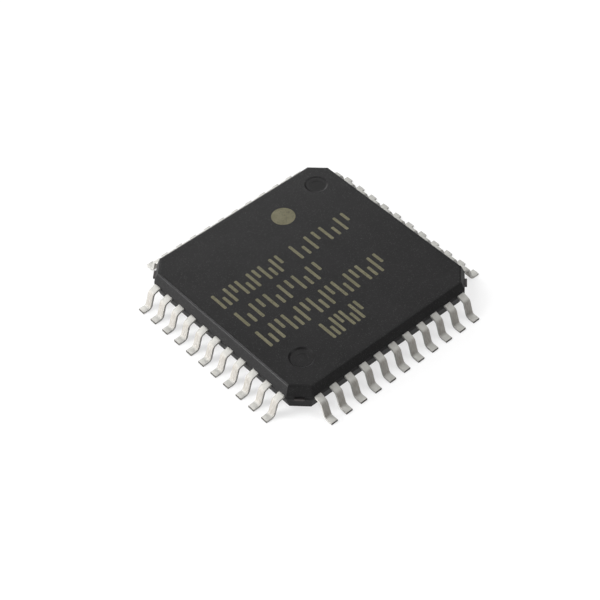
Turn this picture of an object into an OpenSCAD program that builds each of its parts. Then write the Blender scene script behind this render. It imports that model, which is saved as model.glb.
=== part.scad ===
// Microcontroller chip in a low-profile quad flat package: a moulded square body with gull-wing
// leads on all four sides, and the lead frame, die and bond wires that the moulding encloses.
// The origin lies on the board surface under the middle of the body, and +Z is up.
// The index corner is at -X, -Y. Leads count counter-clockwise from it, seen from above.

/* [Leads] */
// Leads on each side
lead_count = 11; // [7:1:13]
// Distance from one lead to the next
lead_pitch = 0.8; // [0.65:0.05:1]
// Width of a lead outside the body
lead_w = 0.34; // [0.25:0.01:0.45]
// Thickness of the sheet that leads and paddle are stamped from
lead_t = 0.1; // [0.08:0.01:0.16]
// Height of the lead frame's underside above the board
lead_z = 0.8; // [0.7:0.01:0.9]
// Distance that a lead reaches past the side wall
lead_reach = 1; // [0.9:0.05:1.3]

/* [Lead forming] */
// Straight stretch between the side wall and the first bend
shoulder_start = 0.02; // [0.01:0.01:0.1]
// Angle at which the shoulder falls away from the body
shoulder_droop = 18; // [5:1:25]
// Underside radius where the shoulder starts to fall
droop_r = 0.1; // [0.05:0.01:0.2]
// Straight length of the shoulder
shoulder_l = 0.22; // [0.1:0.01:0.3]
// Underside radius of the bend from shoulder to leg
knee_r = 0.14; // [0.08:0.01:0.25]
// Angle between the leg and the board
leg_angle = 72; // [60:1:80]
// Upper radius of the bend from leg to foot
heel_r = 0.16; // [0.08:0.01:0.2]

/* [Moulded body] */
// Distance from the middle of a row's end lead to the next side wall
row_margin = 1; // [0.95:0.05:1.3]
// Gap between the board and the underside of the body
standoff = 0.05; // [0.03:0.01:0.15]
// Thickness of the body
body_t = 1.37; // [1.3:0.01:1.6]
// Lean of the side walls above the lead frame
draft_top = 21; // [5:1:22]
// Lean of the side walls below the lead frame
draft_base = 17; // [5:1:22]
// Leg of the corner cut, measured where the body is widest
corner_cut = 0.74; // [0.6:0.02:0.78]
// Upright land that the mould leaves above and below the lead frame
parting_land = 0.05; // [0.02:0.005:0.08]
// Radius along the upper and lower edges
edge_r = 0.14; // [0.06:0.01:0.2]

/* [Mould marks] */
// Distance of the index dimple's middle from the two side walls of its corner
index_inset = 1.55; // [1.35:0.05:2]
// Diameter of the index dimple
index_d = 1.1; // [0.8:0.05:1.3]
// Depth of the index dimple
index_depth = 0.07; // [0.02:0.01:0.1]
// Distance of an ejector mark's middle from the two side walls of its corner
ejector_inset = 1.3; // [1.2:0.05:2]
// Diameter of an ejector mark
ejector_d = 1.05; // [0.8:0.05:1.2]
// Depth of an ejector mark
ejector_depth = 0.03; // [0.01:0.01:0.06]
// Width by which the wall of a dimple slopes outwards
dimple_flare = 0.08; // [0.02:0.01:0.15]
// Diameter of the pin tip's print in the middle of a dimple
pin_print_d = 0.5; // [0.3:0.05:0.7]
// Depth of the pin tip's print below the floor of its dimple
pin_print_depth = 0.01; // [0.005:0.005:0.05]

/* [Die and paddle] */
// Side of the square die
die_w = 3.6; // [3:0.1:4.2]
// Thickness of the die
die_t = 0.25; // [0.2:0.01:0.35]
// Thickness of the epoxy film under the die
attach_t = 0.025; // [0.015:0.005:0.05]
// Width of the epoxy that shows around the die
attach_margin = 0.1; // [0.05:0.01:0.2]
// Width of bare paddle around the die
paddle_margin = 0.7; // [0.4:0.05:0.9]
// Depth by which the paddle is pressed below the lead frame
downset = 0.2; // [0.1:0.01:0.25]
// Width of the tie bars that hold the paddle's corners
tie_w = 0.4; // [0.2:0.02:0.44]
// Angle of the fold in a tie bar
tie_fold = 30; // [25:1:45]
// Inner radius of the fold in a tie bar
tie_fold_r = 0.1; // [0.05:0.01:0.15]
// Straight length of a tie bar between the paddle's corner and its fold
tie_start = 0.1; // [0.05:0.01:0.3]
// Length of a sheared tie bar that stands out of the corner
tie_stub = 0.1; // [0.02:0.01:0.12]

/* [Inner leads and bond wires] */
// Gap between the paddle's edge and the tips of the inner leads
tip_gap = 0.45; // [0.3:0.05:0.6]
// Width of an inner lead at its tip
tip_w = 0.26; // [0.2:0.01:0.3]
// Distance from a row's end tip to the diagonal, along the row
tip_margin = 0.6; // [0.5:0.05:0.7]
// Distance from the side wall to where the inner leads turn towards the die
fan_depth = 0.4; // [0.3:0.05:0.5]
// Diameter of a bond wire
wire_d = 0.025; // [0.02:0.0025:0.035]
// Diameter of the ball bonded to the die
ball_d = 0.07; // [0.05:0.005:0.09]
// Height of the bonded ball
ball_h = 0.02; // [0.01:0.005:0.03]
// Height at which a wire starts to turn over, above the die
loop_h = 0.12; // [0.08:0.01:0.18]
// Radius in which a wire turns over
loop_r = 0.08; // [0.05:0.01:0.1]
// Distance of the bond pads from the die's edge
pad_inset = 0.1; // [0.06:0.01:0.15]
// Distance from a row's end pad to the next edge of the die
pad_margin = 0.3; // [0.2:0.02:0.5]
// Distance of a wire's far bond from the tip of its inner lead
stitch_inset = 0.15; // [0.12:0.01:0.25]

/* [Hidden] */
$fn = 48;
// Flat steps that stand for the rounding of the body's edges
edge_steps = 6;
// A length that carries a cut clear of the surface it opens
clear = 0.1;
// Overlap of a wire's straight stretches with its bend, and the swell of the bend around them
wire_lap = 0.004;
wire_swell = 0.0005;
side_names = ["front", "right", "back", "left"];
// Number of places from the middle lead of a row to its end lead
row_half = (lead_count - 1) / 2;

// Heights above the board
lead_top = lead_z + lead_t;
body_top = standoff + body_t;
parting_low = lead_z - parting_land;
parting_high = lead_top + parting_land;
paddle_z = lead_z - downset;
attach_z = paddle_z + lead_t;
die_z = attach_z + attach_t;
die_top = die_z + die_t;

// Plan sizes
body_w = (lead_count - 1) * lead_pitch + 2 * row_margin;
paddle_w = die_w + 2 * paddle_margin;
// Distances from the middle of the body to the tips, the turns and the far bonds of the inner leads
tip_y = paddle_w / 2 + tip_gap;
fan_y = body_w / 2 - fan_depth;
stitch_y = tip_y + stitch_inset;
tip_pitch = (tip_y - tip_margin) / row_half;
pad_pitch = (die_w / 2 - pad_margin) / row_half;

// Straight lengths of the leg and the foot, from the drop and the reach that the bends leave over
bend_drop = droop_r * (1 - cos(shoulder_droop)) + knee_r * (cos(shoulder_droop) - cos(leg_angle))
  + (heel_r + lead_t) * (1 - cos(leg_angle));
leg_l = (lead_z - bend_drop - shoulder_l * sin(shoulder_droop)) / sin(leg_angle);
bend_reach = droop_r * sin(shoulder_droop) + knee_r * (sin(leg_angle) - sin(shoulder_droop))
  + (heel_r + lead_t) * sin(leg_angle);
foot_l = lead_reach - shoulder_start - bend_reach - shoulder_l * cos(shoulder_droop)
  - leg_l * cos(leg_angle);

// Tie bar: its sloped length, and its distances from the middle at the paddle's corner and outside
tie_slope_l = (downset - (2 * tie_fold_r + lead_t) * (1 - cos(tie_fold))) / sin(tie_fold);
tie_fold_l = (2 * tie_fold_r + lead_t) * sin(tie_fold) + tie_slope_l * cos(tie_fold);
paddle_corner = paddle_w / sqrt(2);
tie_end = (body_w - corner_cut) / sqrt(2) + tie_stub;

function lead_name(number) = str("lead_", number < 10 ? "0" : "", number);
function wires_name(side) = str("bond_wires_", side_names[side]);

// Sideways place of an inner lead's middle at distance y from the middle of the body
function finger_x(place, y) =
  place * (tip_pitch + (lead_pitch - tip_pitch) * (y - tip_y) / (fan_y - tip_y));

// A wall that leans in from its foot and rounds into a flat face, as [distance in, height] points
function wall_rise(foot_z, face_z, lean) =
  let (way = sign(face_z - foot_z), middle_z = face_z - way * edge_r)
  let (middle = abs(middle_z - foot_z) * tan(lean) + edge_r / cos(lean))
  concat([[0, foot_z]], [for (step = [0:edge_steps])
    let (a = lean + (90 - lean) * step / edge_steps)
    [middle - edge_r * cos(a), middle_z + way * edge_r * sin(a)]]);

function reversed(list) = [for (i = [len(list) - 1:-1:0]) list[i]];

// Two opposite walls of the body, as one cross-section carried along it
module wall_pair(half_w) {
  wall = concat(
    reversed(wall_rise(parting_low, standoff, draft_base)),
    wall_rise(parting_high, body_top, draft_top)
  );
  right = [for (p = wall) [half_w - p[0], p[1]]];
  left = [for (p = reversed(wall)) [p[0] - half_w, p[1]]];
  rotate([90, 0, 0]) linear_extrude(2 * body_w, center = true) polygon(concat(right, left));
}

// Body before the pieces inside it are cut out: four sides and four cut corners
module body_blank() {
  corner_half_w = (body_w - corner_cut) / sqrt(2);
  intersection() {
    wall_pair(body_w / 2);
    rotate([0, 0, 90]) wall_pair(body_w / 2);
    rotate([0, 0, 45]) wall_pair(corner_half_w);
    rotate([0, 0, 135]) wall_pair(corner_half_w);
  }
}

// Round dimple cut down from height 0 with a sloping wall, and the print of the pin's tip in its floor
module dimple(d, depth) {
  translate([0, 0, -depth]) cylinder(d1 = d - 2 * dimple_flare, d2 = d, h = depth);
  cylinder(d = d, h = clear);
  translate([0, 0, -depth - pin_print_depth]) cylinder(d = pin_print_d, h = depth + clear);
}

// Index dimple and one ejector mark in the top, and two ejector marks in the underside
module mould_marks() {
  index = body_w / 2 - index_inset;
  ejector = body_w / 2 - ejector_inset;
  translate([-index, -index, body_top]) dimple(index_d, index_depth);
  translate([ejector, ejector, body_top]) dimple(ejector_d, ejector_depth);
  for (x = [-1, 1])
    translate([x * ejector, -x * ejector, standoff])
      mirror([0, 0, 1]) dimple(ejector_d, ejector_depth);
}

// Straight length of sheet along +X; what follows starts at its far end
module sheet_run(w, length) {
  translate([0, -w / 2, 0]) cube([length, w, lead_t]);
  translate([length, 0, 0]) children();
}

// Bend of the sheet, downwards for a positive angle and upwards for a negative one
module sheet_bend(w, r, angle) {
  centre_z = angle > 0 ? -r : r + lead_t;
  translate([0, 0, centre_z]) {
    rotate([90, 0, 0]) translate([0, 0, -w / 2])
      rotate_extrude(angle = abs(angle), start = angle > 0 ? 90 - angle : -90)
        translate([r, 0]) square([lead_t, w]);
    rotate([0, angle, 0]) translate([0, 0, -centre_z]) children();
  }
}

// Lead outside the body: it leaves the wall along +X and ends flat on the board
module gull_wing() {
  sheet_run(lead_w, shoulder_start)
    sheet_bend(lead_w, droop_r, shoulder_droop)
      sheet_run(lead_w, shoulder_l)
        sheet_bend(lead_w, knee_r, leg_angle - shoulder_droop)
          sheet_run(lead_w, leg_l)
            sheet_bend(lead_w, heel_r, -leg_angle)
              sheet_run(lead_w, foot_l);
}

// Lead inside the body: straight through the wall, then slanted towards the die
module finger(place) {
  x = place * lead_pitch;
  tip = place * tip_pitch;
  linear_extrude(lead_t)
    polygon([
      [x - lead_w / 2, -body_w / 2], [x + lead_w / 2, -body_w / 2], [x + lead_w / 2, -fan_y],
      [tip + tip_w / 2, -tip_y], [tip - tip_w / 2, -tip_y], [x - lead_w / 2, -fan_y]
    ]);
}

// One lead of the front row, from its tip by the die to its toe on the board
module row_lead(place) {
  translate([0, 0, lead_z]) {
    finger(place);
    translate([place * lead_pitch, -body_w / 2, 0]) rotate([0, 0, -90]) gull_wing();
  }
}

// Lead by its number, counted from the index corner
module lead(number) {
  side = floor((number - 1) / lead_count);
  place = (number - 1) % lead_count - row_half;
  color("Gainsboro") rotate([0, 0, 90 * side]) row_lead(place);
}

// Tie bar along +X: from the paddle's corner up to the lead frame's height and out of the body
module tie_bar() {
  inside = tie_w;
  translate([paddle_corner - inside, 0, paddle_z])
    sheet_run(tie_w, inside + tie_start)
      sheet_bend(tie_w, tie_fold_r, -tie_fold)
        sheet_run(tie_w, tie_slope_l)
          sheet_bend(tie_w, tie_fold_r, tie_fold)
            sheet_run(tie_w, tie_end - paddle_corner - tie_start - tie_fold_l);
}

module die_paddle() {
  color("DarkGoldenrod") {
    translate([-paddle_w / 2, -paddle_w / 2, paddle_z]) cube([paddle_w, paddle_w, lead_t]);
    for (corner = [0:3]) rotate([0, 0, 45 + 90 * corner]) tie_bar();
  }
}

module die_attach() {
  w = die_w + 2 * attach_margin;
  color("LightSlateGray") translate([-w / 2, -w / 2, attach_z]) cube([w, w, attach_t]);
}

module silicon_die() {
  color("SlateGray") translate([-die_w / 2, -die_w / 2, die_z]) cube([die_w, die_w, die_t]);
}

// Wire that leaves the die upwards, turns over along +X and slopes down to a lead at distance reach
module wire_loop(reach) {
  lead_h = lead_top - die_top;
  fall = loop_h - lead_h;
  run_l = sqrt(pow(reach - loop_r, 2) + pow(fall, 2) - pow(loop_r, 2));
  slope = atan2(fall, reach - loop_r) + atan2(loop_r, run_l);
  tail_l = wire_d / tan(slope);
  cylinder(d = ball_d, h = ball_h);
  cylinder(d = wire_d, h = loop_h + wire_lap);
  translate([loop_r, 0, loop_h]) rotate([90, 0, 0])
    rotate_extrude(angle = 90 + slope, start = 90 - slope)
      translate([loop_r, 0]) circle(d = wire_d + 2 * wire_swell);
  difference() {
    translate([loop_r, 0, loop_h]) rotate([0, 90 + slope, 0]) translate([-loop_r, 0, -wire_lap])
      cylinder(d = wire_d, h = wire_lap + run_l + tail_l);
    translate([0, -wire_d, lead_h - clear]) cube([reach + tail_l + clear, 2 * wire_d, clear]);
  }
}

// Bond wire of one lead of the front row, from its pad on the die to its inner lead
module bond_wire(place) {
  pad = [place * pad_pitch, pad_inset - die_w / 2];
  stitch = [finger_x(place, stitch_y), -stitch_y];
  way = stitch - pad;
  translate([pad[0], pad[1], die_top]) rotate([0, 0, atan2(way[1], way[0])]) wire_loop(norm(way));
}

module bond_wires(side) {
  color("Gold") rotate([0, 0, 90 * side])
    for (place = [-row_half:row_half]) bond_wire(place);
}

module mold_body() {
  color([0.23, 0.23, 0.23]) difference() {
    body_blank();
    mould_marks();
    die_paddle();
    die_attach();
    silicon_die();
    for (side = [0:3]) bond_wires(side);
    for (number = [1:4 * lead_count]) lead(number);
  }
}

mold_body();
die_paddle();
die_attach();
silicon_die();
for (side = [0:3])
  bond_wires(side);
for (number = [1:4 * lead_count])
  lead(number);
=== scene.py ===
import math

import bpy
from mathutils import Matrix, Vector


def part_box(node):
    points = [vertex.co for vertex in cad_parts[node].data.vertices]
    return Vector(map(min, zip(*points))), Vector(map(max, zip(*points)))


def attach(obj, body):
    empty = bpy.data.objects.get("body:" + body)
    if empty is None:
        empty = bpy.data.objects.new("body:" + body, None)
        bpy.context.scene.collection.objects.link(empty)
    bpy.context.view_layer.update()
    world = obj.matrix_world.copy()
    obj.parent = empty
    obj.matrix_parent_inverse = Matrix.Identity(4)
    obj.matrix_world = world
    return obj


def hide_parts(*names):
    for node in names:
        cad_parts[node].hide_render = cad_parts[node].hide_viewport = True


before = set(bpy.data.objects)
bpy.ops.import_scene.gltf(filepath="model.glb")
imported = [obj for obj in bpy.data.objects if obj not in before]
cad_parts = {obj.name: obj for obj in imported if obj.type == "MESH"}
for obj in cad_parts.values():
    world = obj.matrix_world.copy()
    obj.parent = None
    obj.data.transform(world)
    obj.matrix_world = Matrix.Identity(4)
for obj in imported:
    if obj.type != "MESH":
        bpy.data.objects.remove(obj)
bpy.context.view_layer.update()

# Lengths below are in millimetres and angles in degrees, unless a name says otherwise
MM = 0.001

# Camera, as fitted to the photograph's 600 pixel frame
FRAME_PX = 600
FOCAL_PX = 1624
SENSOR_WIDTH = 36
CLIP_NEAR = 1
CLIP_FAR = 10000
CAMERA_AIM = (-1.015, -0.547, 0.7)
CAMERA_DISTANCE = 68.13
CAMERA_AZIMUTH = -39.58
CAMERA_ELEVATION = 47.11
CAMERA_ROLL = -2.42

# Studio: light levels are what a white card facing the lamp would show
WHITE = (1, 1, 1, 1)
FLOOR_SIZE = 3000
FLOOR_DROP = 0.002
# Share of plain white in the floor where it is seen, which lightens the shadow
FLOOR_GLOW = 0.68
# Floor as it is seen, and as it throws light back at the object
FLOOR_PALE = (0.95, 0.95, 0.95, 1)
FLOOR_DULL = (0.45, 0.45, 0.45, 1)
LAMPS = {
    # name: (azimuth, elevation, distance, width, level)
    "left_softbox": (-117, 10, 500, 170, 1.32),
    "left_lamp": (-125, 56, 500, 260, 0.42),
    "edge_lamp": (-141, 47, 500, 100, 0.26),
    "back_panel": (155, 28, 500, 300, 0.4),
    "right_panel": (90, 60, 500, 400, 0.38),
    "front_fill": (35, 38, 500, 260, 0.27),
}
SKY_LEVEL = 0.03

# Colours of the finishes in linear light: one colour, or the two ends of a range
CHARCOAL = ((0.0142, 0.0139, 0.0142, 1), (0.0178, 0.0174, 0.0178, 1))
SILICA_FLECK = (0.038, 0.038, 0.038, 1)
# Floor of the ejector mark: painted shade of the shallow recess
MARK_SHADE = (0.0105, 0.0102, 0.0105, 1)
PLATED_TIN = ((0.495, 0.49, 0.465, 1), (0.58, 0.575, 0.55, 1))
# Steep legs of the leads: forming streaks, darkened and tanned as painted shade
LEG_WEAR_AND_SHADE = ((0.35, 0.33, 0.3, 1), (0.5, 0.485, 0.46, 1))
# Sheared sides of the leads: a little darker than the plating, as painted shade
SHEARED_SIDE_SHADE = (0.5, 0.49, 0.47, 1)
CUT_END = (0.1, 0.095, 0.085, 1)
PRINT_TAN = ((0.106, 0.099, 0.061, 1), (0.142, 0.133, 0.087, 1))
PRINT_PORE = (0.08, 0.076, 0.051, 1)
COPPER = ((0.62, 0.33, 0.2, 1), (0.8, 0.48, 0.32, 1))
# Tie-bar ends in the open corners: painted shade
OPEN_TIE_SHADE = (0.06, 0.055, 0.055, 1)
SILVER_PASTE = ((0.3, 0.29, 0.27, 1), (0.6, 0.6, 0.58, 1))
CIRCUIT_BLOCKS = ((0.16, 0.15, 0.19, 1), (0.22, 0.2, 0.16, 1))
CIRCUIT_LANES = (0.32, 0.31, 0.33, 1)
GOLD = ((0.85, 0.56, 0.18, 1), (1.0, 0.74, 0.34, 1))

# Range that a noise texture mostly keeps to, and the narrower one that draws streaks on the legs
NOISE_LOW = 0.3
NOISE_HIGH = 0.7
STREAK_LOW = 0.35
STREAK_HIGH = 0.65
# How far the roughness of a plain metal swings to either side
METAL_SWING = 0.06

# Upward part of the body's normal where its dull walls begin, and where they are whole
WALL_START = 0.7
WALL_WHOLE = 0.4
WALL_ROUGH = 0.55
# Ejector mark in the top face: its middle, and how far from there its floor of painted shade begins
# and is whole
MARK_PLACE = (3.7, 3.7)
MARK_EDGE = 0.52
MARK_FLOOR = 0.32

# Upward part of a lead's normal where the leg's painted shade with forming streaks begins, and where
# it is whole
LEG_START = 0.96
LEG_WHOLE = 0.6
# Sideways part of a lead's normal where a sheared side with a little painted shade begins, and where
# it is whole
SIDE_START = 0.6
SIDE_WHOLE = 0.95
# Distance from the middle beyond which a lead shows its cut end, and the width of that border
TOE_CUT = 5.985
TOE_BLEND = 0.006
# Sum of the distances from the two middle planes beyond which a tie bar stands in the open and gets
# painted shade
TIE_OPEN = 9.2

# Rounding of the leads' edges
LEAD_EDGE = 0.012
LEAD_EDGE_STEPS = 2
# Distance within which the points of a lead's copy are merged
MERGE = 0.0005
# Angle between two faces up to which they become one
FLAT_ANGLE = 1
# Angle up to which they are shaded as one curve
SMOOTH_ANGLE = 30
# Angle from which the edge between them is rounded
EDGE_ANGLE = 45

# Printed film on the top face
FILM_T = 0.004
DOT_PLACE = (1.3, 3.15)
DOT_D = 1.06
DOT_SIDES = 64
BAR_W = 0.14
BAR_PITCH = 0.33
BAR_CORNER = 0.05
BAR_CORNER_STEPS = 3
# Lower and upper ends of the bars in a unit, as shares of the row's height
BAR_SPANS = ((0.0, 1.0), (0.0, 0.6), (0.0, 1.0), (0.4, 1.0))
# Rows of bars: left, right, bottom and top
ROWS = (
    (-4.06, -0.48, 0.65, 1.6),
    (0.2, 3.31, 0.65, 1.6),
    (-3.97, 0.43, -0.75, 0.22),
    (-4.0, 2.65, -2.2, -1.16),
    (-1.82, 0.2, -3.6, -2.6),
)

SIDES = ("front", "right", "back", "left")
WIRE_NODES = ["bond_wires_" + side for side in SIDES]
LEAD_NODES = [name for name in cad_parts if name.startswith("lead_")]

# Height of the body's top face, in metres
body_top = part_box("mold_body")[1].z


# Shader building

def node(tree, kind, values=None, **settings):
    """Add a shader node. Values are constants for its inputs, or sockets that are linked to them."""
    made = tree.nodes.new("ShaderNode" + kind)
    for name, value in settings.items():
        setattr(made, name, value)
    for socket, value in (values or {}).items():
        if isinstance(value, bpy.types.NodeSocket):
            tree.links.new(value, made.inputs[socket])
        else:
            made.inputs[socket].default_value = value
    return made


def math_node(tree, operation, *values, clamp=False):
    """Add a math node and return its result."""
    made = node(tree, "Math", dict(enumerate(values)), operation=operation, use_clamp=clamp)
    return made.outputs[0]


def split(tree, vector):
    """Return the three parts of a vector, by their names."""
    return node(tree, "SeparateXYZ", {"Vector": vector}).outputs


def level_sizes(tree, vector):
    """Return the sizes of a vector's two level parts, whichever way they point."""
    part = split(tree, vector)
    return math_node(tree, "ABSOLUTE", part["X"]), math_node(tree, "ABSOLUTE", part["Y"])


def spread(tree, value, start, end, low=0.0, high=1.0):
    """Stretch the range from start to end over the range from low to high."""
    made = node(tree, "MapRange", {"Value": value, "From Min": start, "From Max": end,
                                   "To Min": low, "To Max": high})
    return made.outputs["Result"]


def mix_values(tree, factor, low, high):
    """Mix two values by a factor socket."""
    made = node(tree, "Mix", {"Factor": factor, "A": low, "B": high}, data_type="FLOAT")
    return made.outputs["Result"]


def mix_colours(tree, factor, low, high):
    """Mix two colours by a factor socket."""
    made = node(tree, "Mix", {"Factor": factor, "A": low, "B": high}, data_type="RGBA")
    return made.outputs["Result"]


def bumped(tree, height, strength, depth):
    """Return the normal of a surface that rises and falls with a height, by a depth in millimetres."""
    made = node(tree, "Bump", {"Height": height, "Strength": strength, "Distance": depth * MM})
    return made.outputs["Normal"]


def group_tree(name, inputs, outputs):
    """Start a shader group with named sockets, and return its tree with its two end nodes."""
    tree = bpy.data.node_groups.new(name, "ShaderNodeTree")
    for socket, default in inputs.items():
        made = tree.interface.new_socket(socket, in_out="INPUT", socket_type="NodeSocketFloat")
        made.default_value = default
    for socket, kind in outputs.items():
        tree.interface.new_socket(socket, in_out="OUTPUT", socket_type="NodeSocket" + kind)
    return tree, tree.nodes.new("NodeGroupInput"), tree.nodes.new("NodeGroupOutput")


def use_group(tree, group, **values):
    """Place a shader group in a material with its own values."""
    made = tree.nodes.new("ShaderNodeGroup")
    made.node_tree = group
    for socket, value in values.items():
        made.inputs[socket.replace("_", " ").capitalize()].default_value = value
    return made.outputs


def new_material(name):
    """Return a bare material, its tree and its output node."""
    material = bpy.data.materials.new(name)
    material.use_nodes = True
    tree = material.node_tree
    tree.nodes.clear()
    return material, tree, tree.nodes.new("ShaderNodeOutputMaterial")


def finish_material(material, output, values):
    """Close a material with its Principled shader."""
    tree = material.node_tree
    shader = node(tree, "BsdfPrincipled", values)
    tree.links.new(shader.outputs["BSDF"], output.inputs["Surface"])
    return material


# Effects that the finishes share, with their scales counted over a metre

def make_smudge():
    """Broad, soft variation left by handling and moulding."""
    tree, given, result = group_tree(
        "smudge", {"Scale": 500.0, "Low": 0.0, "High": 1.0}, {"Value": "Float"})
    wish = given.outputs
    place = node(tree, "TexCoord").outputs["Object"]
    noise = node(tree, "TexNoise", {"Vector": place, "Scale": wish["Scale"],
                                    "Detail": 4.0, "Roughness": 0.6})
    value = spread(tree, noise.outputs["Fac"], NOISE_LOW, NOISE_HIGH, wish["Low"], wish["High"])
    tree.links.new(value, result.inputs["Value"])
    return tree


def make_grain():
    """Fine skin of a moulded or plated surface, and the flecks in it."""
    tree, given, result = group_tree(
        "grain", {"Scale": 20000.0, "Fleck scale": 30000.0, "Fleck share": 0.1},
        {"Height": "Float", "Flecks": "Float"})
    wish = given.outputs
    place = node(tree, "TexCoord").outputs["Object"]
    noise = node(tree, "TexNoise", {"Vector": place, "Scale": wish["Scale"],
                                    "Detail": 3.0, "Roughness": 0.65})
    cells = node(tree, "TexVoronoi", {"Vector": place, "Scale": wish["Fleck scale"]})
    tone = node(tree, "SeparateColor", {"Color": cells.outputs["Color"]}).outputs["Red"]
    fleck = math_node(tree, "LESS_THAN", tone, wish["Fleck share"])
    tree.links.new(noise.outputs["Fac"], result.inputs["Height"])
    tree.links.new(fleck, result.inputs["Flecks"])
    return tree


def make_streaks():
    """Lines that rolling and forming leave along a lead, on all four sides of the package."""
    tree, given, result = group_tree(
        "streaks", {"Across scale": 60000.0, "Along scale": 3000.0}, {"Value": "Float"})
    wish = given.outputs
    place = node(tree, "TexCoord").outputs["Object"]
    x, y = level_sizes(tree, place)
    outward = math_node(tree, "MAXIMUM", x, y)
    sideways = math_node(tree, "MINIMUM", x, y)
    stretched = node(tree, "CombineXYZ", {
        "X": math_node(tree, "MULTIPLY", sideways, wish["Across scale"]),
        "Y": math_node(tree, "MULTIPLY", outward, wish["Along scale"]),
        "Z": math_node(tree, "MULTIPLY", split(tree, place)["Z"], wish["Along scale"])})
    noise = node(tree, "TexNoise", {"Vector": stretched.outputs["Vector"], "Scale": 1.0,
                                    "Detail": 2.0, "Roughness": 0.5})
    tree.links.new(noise.outputs["Fac"], result.inputs["Value"])
    return tree


def make_lead_faces():
    """Masks of the leg, which gets painted shade with forming streaks, the sheared sides, which get a
    little painted shade, and the cut toe of a lead in any of the four rows.
    """
    tree, _, result = group_tree(
        "lead_faces", {}, {"Leg": "Float", "Side": "Float", "Toe": "Float"})
    coordinates = node(tree, "TexCoord").outputs
    x, y = level_sizes(tree, coordinates["Object"])
    facing_x, facing_y = level_sizes(tree, coordinates["Normal"])
    upward = split(tree, coordinates["Normal"])["Z"]
    side_row = math_node(tree, "GREATER_THAN", x, y)
    sideways = mix_values(tree, side_row, facing_x, facing_y)
    outward = math_node(tree, "MAXIMUM", x, y)
    masks = {
        "Leg": spread(tree, upward, LEG_START, LEG_WHOLE),
        "Side": spread(tree, sideways, SIDE_START, SIDE_WHOLE),
        "Toe": spread(tree, outward, TOE_CUT * MM, (TOE_CUT + TOE_BLEND) * MM),
    }
    for socket, mask in masks.items():
        tree.links.new(mask, result.inputs[socket])
    return tree


smudge = make_smudge()
grain = make_grain()
streaks = make_streaks()
lead_faces = make_lead_faces()


# Finishes

def mould_compound():
    """Black epoxy filled with silica, duller on the walls, with painted shade in the ejector mark."""
    material, tree, output = new_material("mould_compound")
    skin = use_group(tree, grain, scale=28000.0, fleck_scale=45000.0, fleck_share=0.05)
    tone = use_group(tree, smudge, scale=700.0, low=0.0, high=1.0)["Value"]
    shine = use_group(tree, smudge, scale=1500.0, low=0.28, high=0.31)["Value"]
    coordinates = node(tree, "TexCoord").outputs
    upright = math_node(tree, "ABSOLUTE", split(tree, coordinates["Normal"])["Z"])
    wall = spread(tree, upright, WALL_START, WALL_WHOLE)
    middle = (MARK_PLACE[0] * MM, MARK_PLACE[1] * MM, body_top)
    reach = node(tree, "VectorMath", {0: coordinates["Object"], 1: middle}, operation="DISTANCE")
    mark_shade = spread(tree, reach.outputs["Value"], MARK_EDGE * MM, MARK_FLOOR * MM)
    base = mix_colours(tree, tone, *CHARCOAL)
    flecked = mix_colours(tree, skin["Flecks"], base, SILICA_FLECK)
    return finish_material(material, output, {
        # Painted shade in the ejector mark
        "Base Color": mix_colours(tree, mark_shade, flecked, MARK_SHADE),
        "Roughness": mix_values(tree, wall, shine, WALL_ROUGH),
        "Normal": bumped(tree, skin["Height"], strength=0.25, depth=0.01),
        "Specular IOR Level": 0.1})


def tinned_lead():
    """Matte tin over copper alloy, with forming streaks and painted shade on the legs, a little
    painted shade on the sheared sides, and bare cut toes.
    """
    material, tree, output = new_material("tinned_lead")
    lines = use_group(tree, streaks, across_scale=45000.0, along_scale=4000.0)["Value"]
    cloud = use_group(tree, smudge, scale=2500.0, low=0.0, high=1.0)["Value"]
    skin = use_group(tree, grain, scale=60000.0)
    faces = use_group(tree, lead_faces)
    streak = spread(tree, lines, STREAK_LOW, STREAK_HIGH)
    plated = mix_colours(tree, cloud, *PLATED_TIN)
    # Steep legs get painted shade, darker and tan, streaked by forming
    leg_wear_and_shade = mix_colours(tree, streak, *LEG_WEAR_AND_SHADE)
    legged = mix_colours(tree, faces["Leg"], plated, leg_wear_and_shade)
    # Sheared sides get a little painted shade
    sided = mix_colours(tree, faces["Side"], legged, SHEARED_SIDE_SHADE)
    height = math_node(tree, "ADD", lines, skin["Height"])
    return finish_material(material, output, {
        "Base Color": mix_colours(tree, faces["Toe"], sided, CUT_END),
        "Metallic": 0.7,
        "Roughness": spread(tree, lines, NOISE_LOW, NOISE_HIGH, low=0.74, high=0.82),
        "Normal": bumped(tree, height, strength=0.2, depth=0.004)})


def printed_film():
    """Tan marking burnt into the skin: a thin chalky film with dark pores."""
    material, tree, output = new_material("printed_film")
    skin = use_group(tree, grain, scale=24000.0, fleck_scale=30000.0, fleck_share=0.12)
    cloud = use_group(tree, smudge, scale=3000.0, low=0.0, high=1.0)["Value"]
    base = mix_colours(tree, cloud, *PRINT_TAN)
    return finish_material(material, output, {
        "Base Color": mix_colours(tree, skin["Flecks"], base, PRINT_PORE),
        "Roughness": 0.8,
        "Normal": bumped(tree, skin["Height"], strength=0.3, depth=0.01),
        "Specular IOR Level": 0.25})


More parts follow.
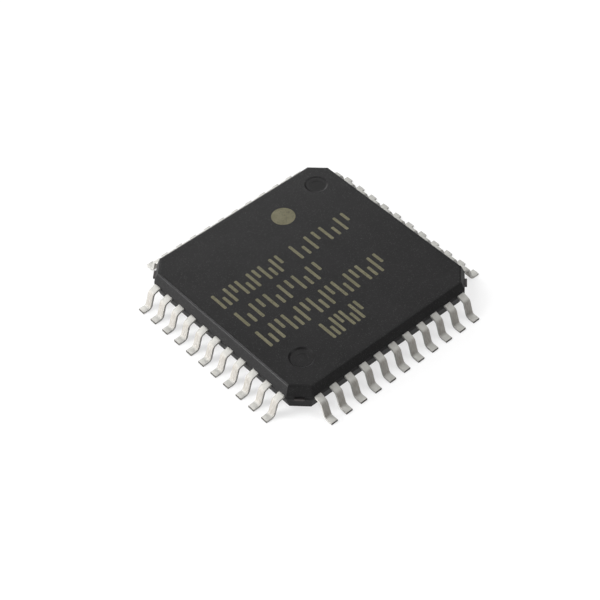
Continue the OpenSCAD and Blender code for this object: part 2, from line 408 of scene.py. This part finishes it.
def plain_metal(name, tones, rough, shade_from=None):
    """Rolled or drawn metal inside the package, with painted shade where it stands in the open."""
    material, tree, output = new_material(name)
    lines = use_group(tree, streaks, across_scale=30000.0, along_scale=2000.0)["Value"]
    cloud = use_group(tree, smudge, scale=1500.0,
                      low=rough - METAL_SWING, high=rough + METAL_SWING)["Value"]
    shade = mix_colours(tree, lines, *tones)
    # Painted shade on the tie-bar ends that stand in the open
    if shade_from:
        x, y = level_sizes(tree, node(tree, "TexCoord").outputs["Object"])
        reach = math_node(tree, "ADD", x, y)
        open_shade = math_node(tree, "GREATER_THAN", reach, shade_from * MM)
        shade = mix_colours(tree, open_shade, shade, OPEN_TIE_SHADE)
    return finish_material(material, output, {
        "Base Color": shade,
        "Metallic": 1.0,
        "Roughness": cloud,
        "Normal": bumped(tree, lines, strength=0.15, depth=0.003)})


def silver_epoxy():
    """Cured epoxy paste full of silver flakes."""
    material, tree, output = new_material("silver_epoxy")
    skin = use_group(tree, grain, scale=15000.0, fleck_scale=60000.0, fleck_share=0.4)
    cloud = use_group(tree, smudge, scale=2000.0, low=0.35, high=0.55)["Value"]
    return finish_material(material, output, {
        "Base Color": mix_colours(tree, skin["Flecks"], *SILVER_PASTE),
        "Metallic": skin["Flecks"],
        "Roughness": cloud,
        "Normal": bumped(tree, skin["Height"], strength=0.3, depth=0.01)})


def silicon():
    """Polished silicon with blocks of circuit in slightly different tones."""
    material, tree, output = new_material("silicon")
    place = node(tree, "TexCoord").outputs["Object"]
    blocks = node(tree, "TexBrick", {
        "Vector": place, "Scale": 1400.0, "Color1": CIRCUIT_BLOCKS[0],
        "Color2": CIRCUIT_BLOCKS[1], "Mortar": CIRCUIT_LANES, "Mortar Size": 0.015})
    skin = use_group(tree, grain, scale=40000.0)
    cloud = use_group(tree, smudge, scale=3000.0, low=0.12, high=0.22)["Value"]
    return finish_material(material, output, {
        "Base Color": blocks.outputs["Color"],
        "Metallic": 0.4,
        "Roughness": cloud,
        "Normal": bumped(tree, skin["Height"], strength=0.1, depth=0.002)})


def dress(names, material):
    """Give CAD nodes a finish."""
    for name in names:
        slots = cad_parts[name].data.materials
        slots.clear()
        slots.append(material)


film = printed_film()
dress(["mold_body"], mould_compound())
dress(["die_paddle"], plain_metal("copper_sheet", COPPER, rough=0.35, shade_from=TIE_OPEN))
dress(["die_attach"], silver_epoxy())
dress(["silicon_die"], silicon())
dress(WIRE_NODES, plain_metal("gold_wire", GOLD, rough=0.22))


# Leads

def round_lead(name, finish):
    """Copy a lead, merge its triangles, round its edges and let the copy stand for it."""
    bpy.ops.object.select_all(action="DESELECT")
    lead = bpy.data.objects.new("tinned_" + name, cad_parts[name].data.copy())
    bpy.context.scene.collection.objects.link(lead)
    lead.select_set(True)
    bpy.context.view_layer.objects.active = lead
    bpy.ops.mesh.customdata_custom_splitnormals_clear()
    bpy.ops.object.mode_set(mode="EDIT")
    bpy.ops.mesh.select_all(action="SELECT")
    bpy.ops.mesh.remove_doubles(threshold=MERGE * MM)
    bpy.ops.mesh.dissolve_limited(angle_limit=math.radians(FLAT_ANGLE))
    bpy.ops.object.mode_set(mode="OBJECT")
    edge = lead.modifiers.new("edge", "BEVEL")
    edge.width = LEAD_EDGE * MM
    edge.segments = LEAD_EDGE_STEPS
    edge.limit_method = "ANGLE"
    edge.angle_limit = math.radians(EDGE_ANGLE)
    bpy.ops.object.modifier_apply(modifier=edge.name)
    bpy.ops.object.shade_smooth_by_angle(angle=math.radians(SMOOTH_ANGLE))
    lead.data.materials.clear()
    lead.data.materials.append(finish)
    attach(lead, "root")
    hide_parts(name)


tin = tinned_lead()
for name in LEAD_NODES:
    round_lead(name, tin)


# Printed marks

def finish_film(name):
    """Turn the flat outline in hand into a closed film on the top face that rides on the body."""
    piece = bpy.context.object
    bpy.ops.object.transform_apply(location=True, rotation=True, scale=True)
    solid = piece.modifiers.new("film", "SOLIDIFY")
    solid.thickness = FILM_T * MM
    solid.offset = 1.0
    bpy.ops.object.modifier_apply(modifier=solid.name)
    piece.name = name
    piece.data.name = name
    piece.data.materials.append(film)
    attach(piece, "root")


def make_dot():
    """Round dot printed near the back edge."""
    bpy.ops.object.select_all(action="DESELECT")
    bpy.ops.mesh.primitive_circle_add(
        vertices=DOT_SIDES, radius=DOT_D / 2 * MM, fill_type="NGON",
        location=(DOT_PLACE[0] * MM, DOT_PLACE[1] * MM, body_top))
    finish_film("printed_dot")


def make_row(number, left, right, bottom, top):
    """One row of plain upright bars: a unit of bars, repeated along the row."""
    units = round((right - left) / (len(BAR_SPANS) * BAR_PITCH))
    pitch = (right - left - BAR_W) / (units * len(BAR_SPANS) - 1)
    height = top - bottom
    bars = []
    for step, (low, high) in enumerate(BAR_SPANS):
        x = left + BAR_W / 2 + step * pitch
        y = bottom + height * (low + high) / 2
        bpy.ops.object.select_all(action="DESELECT")
        bpy.ops.mesh.primitive_plane_add(size=MM, location=(x * MM, y * MM, body_top))
        bar = bpy.context.object
        bar.scale = (BAR_W, height * (high - low), 1)
        bars.append(bar)
    for bar in bars:
        bar.select_set(True)
    bpy.ops.object.transform_apply(location=True, rotation=True, scale=True)
    bpy.ops.object.join()
    bpy.ops.object.mode_set(mode="EDIT")
    bpy.ops.mesh.select_all(action="SELECT")
    bpy.ops.mesh.bevel(offset=BAR_CORNER * MM, segments=BAR_CORNER_STEPS, affect="VERTICES")
    bpy.ops.object.mode_set(mode="OBJECT")
    repeat = bpy.context.object.modifiers.new("repeat", "ARRAY")
    repeat.count = units
    repeat.use_relative_offset = False
    repeat.use_constant_offset = True
    repeat.constant_offset_displace = (len(BAR_SPANS) * pitch * MM, 0, 0)
    bpy.ops.object.modifier_apply(modifier=repeat.name)
    finish_film(f"printed_bars_{number}")


make_dot()
for number, row in enumerate(ROWS, start=1):
    make_row(number, *row)


# Studio

def direction(azimuth, elevation):
    """Unit vector towards a place round the object, with azimuth 0 in front and 90 on the right."""
    a = math.radians(azimuth)
    e = math.radians(elevation)
    return Vector((math.sin(a) * math.cos(e), -math.cos(a) * math.cos(e), math.sin(e)))


def make_lamp(name, azimuth, elevation, distance, width, level):
    """Square softbox that faces the object."""
    lamp = bpy.data.lights.new(name, "AREA")
    lamp.size = width * MM
    lamp.energy = level * math.pi ** 2 * (distance * MM) ** 2
    holder = bpy.data.objects.new(name, lamp)
    way = direction(azimuth, elevation)
    holder.location = way * distance * MM
    holder.rotation_euler = (-way).to_track_quat("-Z", "Y").to_euler()
    bpy.context.scene.collection.objects.link(holder)


def make_floor():
    """Plain pale floor under the feet, near white where it is seen and duller as a source of light."""
    material, tree, output = new_material("pale_floor")
    ray = node(tree, "LightPath").outputs
    seen = math_node(tree, "ADD", ray["Is Camera Ray"], ray["Is Glossy Ray"])
    seen = math_node(tree, "ADD", seen, ray["Is Transmission Ray"], clamp=True)
    share = math_node(tree, "MULTIPLY", seen, FLOOR_GLOW)
    tone = mix_colours(tree, seen, FLOOR_DULL, FLOOR_PALE)
    lit = node(tree, "BsdfDiffuse", {"Color": tone}).outputs["BSDF"]
    glow = node(tree, "Emission", {"Color": WHITE, "Strength": 1.0}).outputs["Emission"]
    shader = node(tree, "MixShader", {0: share, 1: lit, 2: glow})
    tree.links.new(shader.outputs["Shader"], output.inputs["Surface"])
    bpy.ops.object.select_all(action="DESELECT")
    bpy.ops.mesh.primitive_plane_add(size=FLOOR_SIZE * MM, location=(0, 0, -FLOOR_DROP * MM))
    floor = bpy.context.object
    floor.name = "floor"
    floor.data.materials.append(material)


def make_sky():
    """Even, dim light from all round."""
    world = bpy.data.worlds.new("studio")
    bpy.context.scene.world = world
    world.use_nodes = True
    sky = world.node_tree.nodes["Background"]
    sky.inputs["Color"].default_value = WHITE
    sky.inputs["Strength"].default_value = SKY_LEVEL


def make_camera():
    """Camera at the photograph's place."""
    lens = bpy.data.cameras.new("camera")
    lens.sensor_width = SENSOR_WIDTH
    lens.lens = FOCAL_PX / FRAME_PX * SENSOR_WIDTH
    lens.clip_start = CLIP_NEAR * MM
    lens.clip_end = CLIP_FAR * MM
    camera = bpy.data.objects.new("camera", lens)
    back = direction(CAMERA_AZIMUTH, CAMERA_ELEVATION)
    roll = Matrix.Rotation(math.radians(CAMERA_ROLL), 3, "Z")
    turn = back.to_track_quat("Z", "Y").to_matrix() @ roll
    camera.location = (Vector(CAMERA_AIM) + back * CAMERA_DISTANCE) * MM
    camera.rotation_euler = turn.to_euler()
    bpy.context.scene.collection.objects.link(camera)
    bpy.context.scene.camera = camera


for name, values in LAMPS.items():
    make_lamp(name, *values)
make_floor()
make_sky()
make_camera()
bpy.context.scene.view_settings.view_transform = "Standard"
